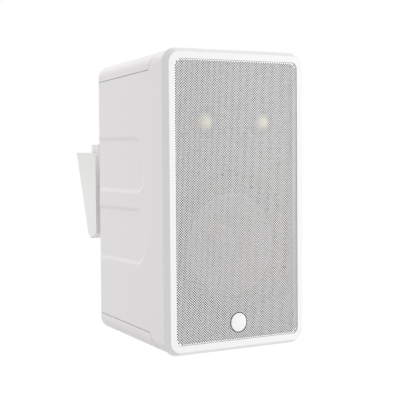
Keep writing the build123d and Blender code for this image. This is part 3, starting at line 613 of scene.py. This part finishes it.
def coil(axis, low, high, radius, wire, turns, steps=24, sides=8):
    """Points of a coil spring about an upright axis, with its ends closed to points.

    The wire's middle is at (x + R cos t, y + R sin t, z), z from low to high; a ring of the wire is
    w (cos u n + sin u b) about it, with n towards the axis and b = tangent x n.
    """
    t = np.linspace(0.0, 2 * pi * turns, int(steps * turns))
    climb = (high - low) / (2 * pi * turns)
    middle = np.stack([axis[0] + radius * np.cos(t), axis[1] + radius * np.sin(t), low + climb * t], 1)
    tangent = np.stack([-radius * np.sin(t), radius * np.cos(t), np.full_like(t, climb)], 1)
    tangent /= np.linalg.norm(tangent, axis=1)[:, None]
    inward = np.stack([-np.cos(t), -np.sin(t), np.zeros_like(t)], 1)
    upward = np.cross(tangent, inward)
    u = np.linspace(0.0, 2 * pi, sides, endpoint=False)[:, None]
    rings = middle[:, None] + wire * (np.cos(u) * inward[:, None] + np.sin(u) * upward[:, None])
    closed = np.repeat(middle[[0, -1], None], sides, 1)
    return np.concatenate([closed[:1], rings, closed[1:]])


def dress(material, *names):
    """Gives CAD nodes a finish."""
    for name in names:
        nodes[name].data.materials.clear()
        nodes[name].data.materials.append(material)


def outline_gap(x, z, half, corner):
    """Signed distance to a rounded rectangle: below zero inside it."""
    qx, qz = np.abs(x) - half[0] + corner, np.abs(z) - half[1] + corner
    outside = np.hypot(np.maximum(qx, 0), np.maximum(qz, 0))
    return outside + np.minimum(np.maximum(qx, qz), 0) - corner


def to_outline(points, half, corner):
    """Points moved straight out, sideways or up and down, to a rounded rectangle.

    On a corner's arc the offset along the other axis is sqrt(corner^2 - d^2), where d is how far the
    point lies past the arc's centre.
    """
    away = np.abs(points)
    sideways = half[0] - away[:, 0] < half[1] - away[:, 1]
    kept = np.where(sideways, away[:, 1], away[:, 0])
    past = np.clip(kept - np.where(sideways, half[1], half[0]) + corner, 0, corner)
    moved = np.where(sideways, half[0], half[1]) - corner + np.sqrt(corner**2 - past**2)
    placed = np.stack([np.where(sideways, moved, kept), np.where(sideways, kept, moved)], 1)
    return np.where(points < 0, -1.0, 1.0) * placed


def perforation(half, sizes):
    """Holes of the sheet in staggered columns.

    Every second column is half a pitch p higher, and columns stand a apart. Each hole has a six-sided
    cell with corners at (+-(a^2 + p^2/4) / 2a, 0) and (+-(a^2 - p^2/4) / 2a, +-p/2), which neighbours
    share. Gives the holes' middles, the welded cell corners and each cell's six corner indices.
    """
    pitch, column = sizes.hole_pitch, sizes.column_pitch
    far = (column**2 + pitch**2 / 4) / (2 * column)
    near = (column**2 - pitch**2 / 4) / (2 * column)
    up = pitch / 2
    cell = np.array([(far, 0), (near, up), (-near, up), (-far, 0), (-near, -up), (near, -up)])
    reach = [int(size / step) + 1 for size, step in zip(half, (column, pitch))]
    across, along = np.meshgrid(*(np.arange(-most, most + 1) for most in reach), indexing="ij")
    x, z = (across * column).ravel(), ((along + 0.5 * (across % 2)) * pitch).ravel()
    kept = outline_gap(x, z, half, sizes.corner) < -(sizes.margin + far)
    middles = np.stack([x[kept], z[kept]], 1)
    corners = middles[:, None] + cell
    nearness = pitch / 50
    keys = np.round(corners / nearness).astype(np.int64).reshape(-1, 2)
    _, first, index = np.unique(keys, axis=0, return_index=True, return_inverse=True)
    return middles, corners.reshape(-1, 2)[first], index.reshape(-1, 6)


def open_edges(cells):
    """Edges of cells that no neighbour shares, as pairs of corner indices."""
    edges = np.stack([cells, np.roll(cells, -1, 1)], -1).reshape(-1, 2)
    stride = cells.max() + 1
    paired = np.isin(edges[:, 0] * stride + edges[:, 1], edges[:, 1] * stride + edges[:, 0])
    return edges[~paired]


def upright(flat, lift, y):
    """Points of the sheet's own plane, X and height, put at a depth."""
    return np.stack([flat[:, 0], np.broadcast_to(y, len(flat)), flat[:, 1] + lift], 1)


def pierced_band(middles, corners, cells, radius):
    """Flat points and faces of one band of pierced sheet, front level then back level.

    Each cell has six quads from its corners to its hole, front and back, six hole walls, and a wall at
    each edge that no other cell of the band has.
    """
    used, local = np.unique(cells, return_inverse=True)
    local = local.reshape(-1, 6)
    turn = np.arange(6) * pi / 3
    hexagon = radius * np.stack([np.cos(turn), np.sin(turn)], 1)
    flat = np.concatenate([corners[used], (middles[:, None] + hexagon).reshape(-1, 2)])
    holes = len(used) + np.arange(len(cells) * 6).reshape(-1, 6)
    after, holes_after = np.roll(local, -1, 1), np.roll(holes, -1, 1)
    back = len(flat)
    edges = open_edges(local)
    faces = [
        np.stack([local, after, holes_after, holes], -1),
        np.stack([holes, holes_after, after, local], -1) + back,
        np.stack([holes, holes_after, holes_after + back, holes + back], -1),
        np.stack([edges[:, 1], edges[:, 0], edges[:, 0] + back, edges[:, 1] + back], -1),
    ]
    return flat, np.concatenate([x.reshape(-1, 4) for x in faces])


def sheet_map(piece, origin, span, slant):
    """Bake map of a sheet piece: X and Z, slanted by depth so that walls have width."""
    places = np.empty(len(piece.data.vertices) * 3, np.float32)
    piece.data.vertices.foreach_get("co", places)
    places = places.reshape(-1, 3) - np.asarray(origin, np.float32)
    flat = (places[:, [0, 2]] + slant * places[:, 1:2]) / span
    corner = np.empty(len(piece.data.loops), np.int32)
    piece.data.loops.foreach_get("vertex_index", corner)
    layer = piece.data.uv_layers.new(name="OFBake")
    layer.uv.foreach_set("vector", flat[corner].astype(np.float32).ravel())


class SPEAKER_OT_mouldings(bpy.types.Operator):
    """Finish the cabinet, its covers, the trim frame and the wall bracket"""

    bl_idname = "speaker.mouldings"
    bl_label = "Mouldings"

    def execute(self, context):
        paint = context.scene.speaker_finishes
        coarse = moulded(
            "textured_white", paint.cabinet_white, roughness=0.62, grain=0.55, depth=0.035,
            specular=0.3,
        )
        smooth = moulded("bracket_white", paint.bracket_white, roughness=0.42, depth=0.02)
        # The trim's dark tone behind the grille sheet is painted shade.
        satin = moulded(
            "satin_white", paint.trim_white, roughness=0.5, grain=0.4, depth=0.012,
            specular=0.15, opening_shade=paint.rubber_and_shade_black,
        )
        dress(coarse, "cabinet_shell", "top_cover", "bottom_cover")
        dress(smooth, "bracket_wedge", "release_bar", "dock_plate")
        dress(satin, "trim_frame")
        return {"FINISHED"}


class SPEAKER_OT_grille(bpy.types.Operator):
    """Build the perforated sheet with its bent rim"""

    bl_idname = "speaker.grille"
    bl_label = "Grille"

    def execute(self, context):
        sizes = context.scene.speaker_grille
        coat = powder_coat("grille_coat", context.scene.speaker_finishes.grille_white, roughness=0.45)
        low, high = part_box("grille")
        half = ((high.x - low.x) / 2, (high.z - low.z) / 2)
        lift, front = (high.z + low.z) / 2, low.y
        middles, corners, cells = perforation(half, sizes)
        order = np.argsort(middles[:, 1], kind="stable")
        for index, band in enumerate(np.array_split(order, sizes.bands), 1):
            flat, faces = pierced_band(middles[band], corners, cells[band], sizes.hole_radius)
            points = np.concatenate([upright(flat, lift, y) for y in (front, front + sizes.sheet)])
            piece = new_piece(
                f"grille_band_{index}", points, faces, coat, "cabinet", smooth=False
            )
            sheet_map(piece, (low.x, front, low.z), high.z - low.z, BAKE_SLANT)
            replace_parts(piece, "grille")
        self.rim(sizes, coat, corners, open_edges(cells), half, lift, front, high.y)
        return {"FINISHED"}

    @staticmethod
    def rim(sizes, coat, corners, edges, half, lift, front, back, bend_steps=5):
        """Bent rim: loops from the holes' ragged border over the bend, along the flange and back in."""
        used, local = np.unique(edges, return_inverse=True)
        local = local.reshape(-1, 2)
        border = corners[used]
        turn = np.linspace(0, pi / 2, bend_steps)
        outer = [(sizes.bend * (1 - sin(t)), front + sizes.bend * (1 - cos(t))) for t in turn]
        inner = [(sizes.sheet, back), (sizes.sheet, front + sizes.sheet)]
        loops = [upright(border, lift, front)]
        for inset, y in [*outer, (0.0, back), *inner]:
            placed = to_outline(border, (half[0] - inset, half[1] - inset), sizes.corner - inset)
            loops.append(upright(placed, lift, y))
        loops.append(upright(border, lift, front + sizes.sheet))
        start = np.arange(len(loops)) * len(border)
        after = np.roll(start, -1)
        a, b = local[:, 0], local[:, 1]
        faces = np.stack([
            start[:, None] + b, start[:, None] + a, after[:, None] + a, after[:, None] + b,
        ], -1).reshape(-1, 4)
        piece = new_piece("grille_rim", np.concatenate(loops), faces, coat, "cabinet")
        piece.data.set_sharp_from_angle(angle=SHARP)
        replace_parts(piece, "grille")


class SPEAKER_OT_badge(bpy.types.Operator):
    """Build the plain round badge with a dark ring in the gap around it, painted shade for the shadow
    there
    """

    bl_idname = "speaker.badge"
    bl_label = "Badge"

    def execute(self, context):
        sizes, paint = context.scene.speaker_grille, context.scene.speaker_finishes
        low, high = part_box("badge")
        centre, radius = ((low.x + high.x) / 2, (low.z + high.z) / 2), (high.x - low.x) / 2
        disc, seat = radius - sizes.badge_rim, high.y
        gloss = moulded("polished_white", paint.badge_white, roughness=0.16, grain=0.8, depth=0.004)
        # Painted shade: a dark ring in the gap around the badge.
        dark = rubbery("badge_gap", paint.rubber_and_shade_black, roughness=0.7)
        face = self.face(sizes, disc, low.y, seat)
        step = seat - sizes.badge_gap
        ring = [(disc, seat), (radius, seat), (radius, step), (disc, step), (disc, seat)]
        for name, profile, material in (("badge_disc", face, gloss), ("badge_rim", ring, dark)):
            piece = turned_piece(name, centre, profile, ROUND_STEPS, material)
            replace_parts(piece, "badge")
        return {"FINISHED"}

    @staticmethod
    def face(sizes, disc, front, seat, edge_steps=6, face_steps=9):
        """Profile of the disc: a rounded edge e, then y = c - h (1 - (r / (R - e))^2) to the middle."""
        edge, crown = sizes.badge_edge, front + sizes.badge_drop + sizes.badge_dome
        bend = np.linspace(0, pi / 2, edge_steps)
        inward = np.linspace(1.0, 0.0, face_steps)[1:]
        return np.concatenate([
            [(0.0, seat), (disc, seat)],
            np.stack([disc - edge + edge * np.cos(bend), crown + edge - edge * np.sin(bend)], 1),
            np.stack([(disc - edge) * inward, crown - sizes.badge_dome * (1 - inward**2)], 1),
        ])


class SPEAKER_OT_drivers(bpy.types.Operator):
    """Finish the baffle and drivers behind the grille, and build the woofer's surround and spider"""

    bl_idname = "speaker.drivers"
    bl_label = "Drivers"

    def execute(self, context):
        paint, sizes = context.scene.speaker_finishes, context.scene.speaker_fittings
        black = moulded("black_moulding", paint.baffle_black, roughness=0.55, grain=0.6, depth=0.04)
        rubber = rubbery("butyl_rubber", paint.rubber_and_shade_black, roughness=0.6)
        foam = rubbery("seal_foam", paint.rubber_and_shade_black, roughness=0.9)
        oxide = rubbery("black_oxide", paint.black_steel, roughness=0.7)
        polymer = moulded("cone_polymer", paint.cone_grey, roughness=0.42, grain=0.9, depth=0.03)
        ferrite = moulded("sintered_ferrite", paint.ferrite, roughness=0.6, grain=0.7, depth=0.03)
        low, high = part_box("tweeter_dome_right")
        axes, radius = (abs(low.x + high.x) / 2, (low.z + high.z) / 2), (high.z - low.z) / 2
        gold = dome_with_painted_glint("gold_dome", paint.dome_gold, roughness=0.5, axes=axes, radius=radius)
        dress(black, "front_baffle", "tweeter_face_left", "tweeter_face_right")
        dress(rubber, "tweeter_surround_left", "tweeter_surround_right")
        dress(foam, "baffle_gasket", "woofer_gasket")
        dress(powder_coat("basket_coat", paint.baffle_black, roughness=0.4), "woofer_basket")
        dress(polymer, "woofer_cone", "dust_cap")
        dress(wound("coil_copper", paint.copper, turn=0.5), "voice_coil", "inductors")
        dress(ferrite, "woofer_magnet", "tweeter_motor_left", "tweeter_motor_right")
        dress(drawn_steel("zinc_plate", paint), "woofer_top_plate", "woofer_back_plate")
        dress(gold, "tweeter_dome_left", "tweeter_dome_right")
        dress(oxide, "baffle_screws", "woofer_screws", "tweeter_screws")
        self.surround(sizes, rubber)
        self.spider(sizes, woven("spider_cloth", paint.cloth, thread=0.7))
        return {"FINISHED"}

    @staticmethod
    def surround(sizes, rubber, arc_steps=15):
        """Half roll between flat feet; its front is r = m + a cos u, y = base - a sin u, u from pi to 0.

        Its back lies a sheet's thickness behind.
        """
        low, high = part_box("woofer_surround")
        rim, half = (high.z - low.z) / 2, sizes.surround_roll / 2
        foot, sheet = sizes.surround_foot, sizes.surround_sheet
        middle, base = rim - foot - half, high.y - sheet
        u = np.linspace(pi, 0.0, arc_steps)
        front = np.stack([middle + half * np.cos(u), base - half * np.sin(u)], 1)
        back = np.stack([middle + (half - sheet) * np.cos(u), high.y - half * np.sin(u)], 1)
        inner = middle - half - foot
        front = np.concatenate([[(inner, base)], front, [(rim, base)]])
        back = np.concatenate([[(inner, high.y)], back, [(rim, high.y)]])
        flexing_ring(
            "surround_sector", "woofer_surround", front, back, sizes.sectors, rubber,
            rim - sizes.surround_fixed, middle - half,
        )

    @staticmethod
    def spider(sizes, cloth, wave_steps=10):
        """Corrugated cloth, y = m + a cos(2 pi n (r - r0) / span), out to a flat foot."""
        low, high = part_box("woofer_spider")
        inner, outer, half = sizes.spider_inner, (high.z - low.z) / 2, sizes.spider_cloth / 2
        span = outer - sizes.spider_foot - inner
        step = np.linspace(0.0, 1.0, sizes.spider_waves * wave_steps + 1)
        top, deep = high.y - half, low.y + half
        wave = (top + deep) / 2 + (top - deep) / 2 * np.cos(2 * pi * sizes.spider_waves * step)
        line = np.concatenate([np.stack([inner + span * step, wave], 1), [(outer, top)]])
        flexing_ring(
            "spider_sector", "woofer_spider", line - (0.0, half), line + (0.0, half), sizes.sectors,
            cloth, inner + span, inner + span / (2 * sizes.spider_waves),
        )


class SPEAKER_OT_inside(bpy.types.Operator):
    """Finish the crossover and the wadding inside the cabinet"""

    bl_idname = "speaker.inside"
    bl_label = "Inside"

    def execute(self, context):
        paint = context.scene.speaker_finishes
        dress(soldered_board("solder_mask", paint.board_green), "crossover_board")
        dress(drawn_steel("stainless", paint), "board_screws")
        film = moulded("wrapped_film", paint.film_yellow, roughness=0.25, grain=1.2, depth=0.02)
        dress(film, "capacitors")
        dress(fibrous("wadding_fibre", paint.wadding_white), "damping_wadding")
        return {"FINISHED"}


class SPEAKER_OT_back(bpy.types.Operator):
    """Finish the terminal plate, pivot and wall plate, and build the posts, screws and latch spring"""

    bl_idname = "speaker.back"
    bl_label = "Back"

    def execute(self, context):
        paint, sizes = context.scene.speaker_finishes, context.scene.speaker_fittings
        black = moulded("terminal_black", paint.terminal_black, roughness=0.3)
        red = moulded("terminal_red", paint.terminal_red, roughness=0.3)
        nylon = moulded("nylon", paint.nylon, roughness=0.4)
        steel = drawn_steel("stainless", paint)
        dress(black, "terminal_plate")
        dress(steel, "pivot_pin", "pin_clip")
        dress(nylon, "pivot_washers")
        dress(drawn_steel("zinc_plate", paint), "wall_plate")
        self.binding_post(sizes, "binding_post_black", black, "terminal_black")
        self.binding_post(sizes, "binding_post_red", red, "terminal_red")
        pan_screws("dock_screws", *sizes.dock_screw, steel)
        pan_screws("terminal_screws", *sizes.terminal_screw, steel)
        self.spring(sizes, steel)
        return {"FINISHED"}

    @staticmethod
    def binding_post(sizes, node, material, slot, ridge_steps=6):
        """Binding post with a plain collar and socket, and a grip of r = R + d (cos(n t) - 1)."""
        low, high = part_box(node)
        centre, collar = ((low.x + high.x) / 2, (low.z + high.z) / 2), (high.x - low.x) / 2
        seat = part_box("terminal_plate")[1].y
        grip, shoulder, edge = collar - sizes.post_step, seat + sizes.post_collar, sizes.post_edge
        socket, floor = sizes.post_socket, high.y - sizes.socket_depth
        profile = [
            (0.0, low.y), (sizes.post_stem, low.y), (sizes.post_stem, seat), (collar, seat),
            (collar, shoulder - edge), (collar - edge, shoulder), (grip - 2 * edge, shoulder),
            (grip - edge, shoulder + edge), (grip, shoulder + 2 * edge), (grip, high.y - 2 * edge),
            (grip - 2 * edge, high.y), (socket + edge, high.y), (socket, high.y - edge),
            (socket, floor), (0.0, floor),
        ]
        ridged = np.isclose([radius for radius, _ in profile], grip)[:, None] * sizes.knurl_depth
        piece = turned_piece(
            node + "_knurled", centre, profile, ridge_steps * sizes.knurls, material,
            reach=lambda turn: ridged * (np.cos(sizes.knurls * turn) - 1.0),
        )
        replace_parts(piece, node)

    @staticmethod
    def spring(sizes, material):
        """Coil of the latch spring, on the wall bracket."""
        low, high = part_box("latch_spring")
        axis, wire = ((low.x + high.x) / 2, (low.y + high.y) / 2), sizes.spring_wire
        radius = (high.x - low.x) / 2 - wire
        rings = coil(axis, low.z + wire, high.z - wire, radius, wire, sizes.spring_turns)
        faces = grid_faces(*rings.shape[:2])
        points = rings.reshape(-1, 3)
        piece = new_piece("latch_coil", points, faces, material, "wall_bracket")
        sew_up(piece, WIRE_SHARP)
        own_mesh(piece)
        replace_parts(piece, "latch_spring")


class SPEAKER_OT_stage(bpy.types.Operator):
    """Set the white floor, the soft studio light and the camera"""

    bl_idname = "speaker.stage"
    bl_label = "Stage"

    def execute(self, context):
        setup = context.scene.speaker_stage
        self.floor(setup)
        self.surroundings(context.scene, setup)
        middle = Vector((0.0, 0.0, cad_box[1].z / 2))
        for side in ("front", "back", "top"):
            values = [getattr(setup, f"{side}_{kind}") for kind in ("light", "place", "size")]
            self.lamp(side + "_softbox", *values, middle)
        self.camera(context.scene, setup)
        context.scene.view_settings.view_transform = "Standard"
        return {"FINISHED"}

    @staticmethod
    def seen_white(shade):
        """1 for rays that show the background straight or by mirror and glass."""
        kinds = ("Is Camera Ray", "Is Glossy Ray", "Is Transmission Ray")
        first, second, third = (shade.node("LightPath", out=kind) for kind in kinds)
        return shade.maths("MINIMUM", first + second + third, 1.0)

    def floor(self, setup):
        """Square floor that shows white, with a faint shadow."""
        half = setup.floor_size / 2
        mesh = bpy.data.meshes.new("floor")
        corners = [(-half, -half, 0), (half, -half, 0), (half, half, 0), (-half, half, 0)]
        mesh.from_pydata(corners, [], [range(4)])
        made = bpy.data.materials.new("floor_paper")
        made.use_nodes = True
        made.node_tree.nodes.clear()
        shade = Shade(made.node_tree)
        paper = shade.node("BsdfDiffuse", None, {"Color": (*[setup.floor_paper] * 3, 1.0)})
        bounce = setup.floor_bounce
        strength = self.seen_white(shade) * (setup.floor_white - bounce) + bounce
        glow = shade.node("Emission", None, {"Color": WHITE, "Strength": strength})
        mixed = shade.node("MixShader", None, {0: setup.floor_share, 1: paper, 2: glow})
        self.output(made.node_tree, mixed)
        mesh.materials.append(made)
        piece = bpy.data.objects.new("floor", mesh)
        bpy.context.scene.collection.objects.link(piece)

    @staticmethod
    def output(tree, surface, kind="ShaderNodeOutputMaterial"):
        """Links a shader to the tree's output."""
        tree.links.new(surface.socket, tree.nodes.new(kind).inputs["Surface"])

    def surroundings(self, scene, setup):
        """Soft walls with one dim side, white where they show."""
        world = bpy.data.worlds.new("studio")
        world.use_nodes = True
        world.node_tree.nodes.clear()
        shade = Shade(world.node_tree)
        facing = shade.node(
            "VectorMath", {"operation": "DOT_PRODUCT"},
            {0: shade.node("TexCoord", out="Generated"), 1: setup.dark_side}, "Value",
        )
        walls = shade.node(
            "MapRange", {"interpolation_type": "SMOOTHSTEP"},
            {"Value": facing, "From Min": 0, "From Max": 1, "To Min": 1, "To Max": setup.dark_share},
        )
        even = shade.node("Background", None, {"Color": WHITE, "Strength": walls * setup.ambient})
        white = shade.node("Background", None, {"Color": WHITE, "Strength": 1.0})
        mixed = shade.node("MixShader", None, {0: self.seen_white(shade), 1: even, 2: white})
        self.output(world.node_tree, mixed, "ShaderNodeOutputWorld")
        scene.world = world

    @staticmethod
    def lamp(name, power, place, size, aim):
        """Rectangular soft lamp that looks at a point."""
        light = bpy.data.lights.new(name, "AREA")
        light.energy = power
        light.shape = "RECTANGLE"
        light.size, light.size_y = size
        lamp = bpy.data.objects.new(name, light)
        lamp.location = place
        lamp.rotation_euler = (aim - Vector(place)).to_track_quat("-Z", "Y").to_euler()
        bpy.context.scene.collection.objects.link(lamp)

    @staticmethod
    def camera(scene, setup):
        """Camera from its heading, pitch and roll."""
        level = cos(setup.pitch)
        ahead = Vector((sin(setup.heading) * level, cos(setup.heading) * level, -sin(setup.pitch)))
        right = ahead.cross(Vector(WORLD_UP)).normalized()
        down = ahead.cross(right)
        turned_right = right * cos(setup.roll) + down * sin(setup.roll)
        turned_down = down * cos(setup.roll) - right * sin(setup.roll)
        data = bpy.data.cameras.new("camera")
        data.lens = setup.lens
        eye = bpy.data.objects.new("camera", data)
        eye.matrix_world = Matrix.Translation(setup.camera_place) @ Matrix(
            (turned_right, -turned_down, -ahead)
        ).transposed().to_4x4()
        scene.collection.objects.link(eye)
        scene.camera = eye


GROUPS = {
    "speaker_grille": GrilleSizes,
    "speaker_fittings": FittingSizes,
    "speaker_finishes": Finishes,
    "speaker_stage": StageSetup,
}
PIECES = (
    SPEAKER_OT_mouldings,
    SPEAKER_OT_grille,
    SPEAKER_OT_badge,
    SPEAKER_OT_drivers,
    SPEAKER_OT_inside,
    SPEAKER_OT_back,
    SPEAKER_OT_stage,
)


class SPEAKER_PT_panel(bpy.types.Panel):
    """Lists the speaker's groups of pieces and their properties"""

    bl_idname = "SPEAKER_PT_panel"
    bl_label = "Wall Speaker"
    bl_space_type = "VIEW_3D"
    bl_region_type = "UI"
    bl_category = "Speaker"

    def draw(self, context):
        for operator in PIECES:
            self.layout.operator(operator.bl_idname)
        for group in GROUPS:
            owner = getattr(context.scene, group)
            box = self.layout.box()
            for name in owner.__annotations__:
                box.prop(owner, name)


CLASSES = (*GROUPS.values(), *PIECES, SPEAKER_PT_panel)


def register():
    for kind in CLASSES:
        bpy.utils.register_class(kind)
    for name, kind in GROUPS.items():
        setattr(bpy.types.Scene, name, PointerProperty(type=kind))


def unregister():
    for name in GROUPS:
        delattr(bpy.types.Scene, name)
    for kind in reversed(CLASSES):
        bpy.utils.unregister_class(kind)


def main():
    register()
    for operator in PIECES:
        group, name = operator.bl_idname.split(".")
        getattr(getattr(bpy.ops, group), name)()


if __name__ == "__main__":
    main()
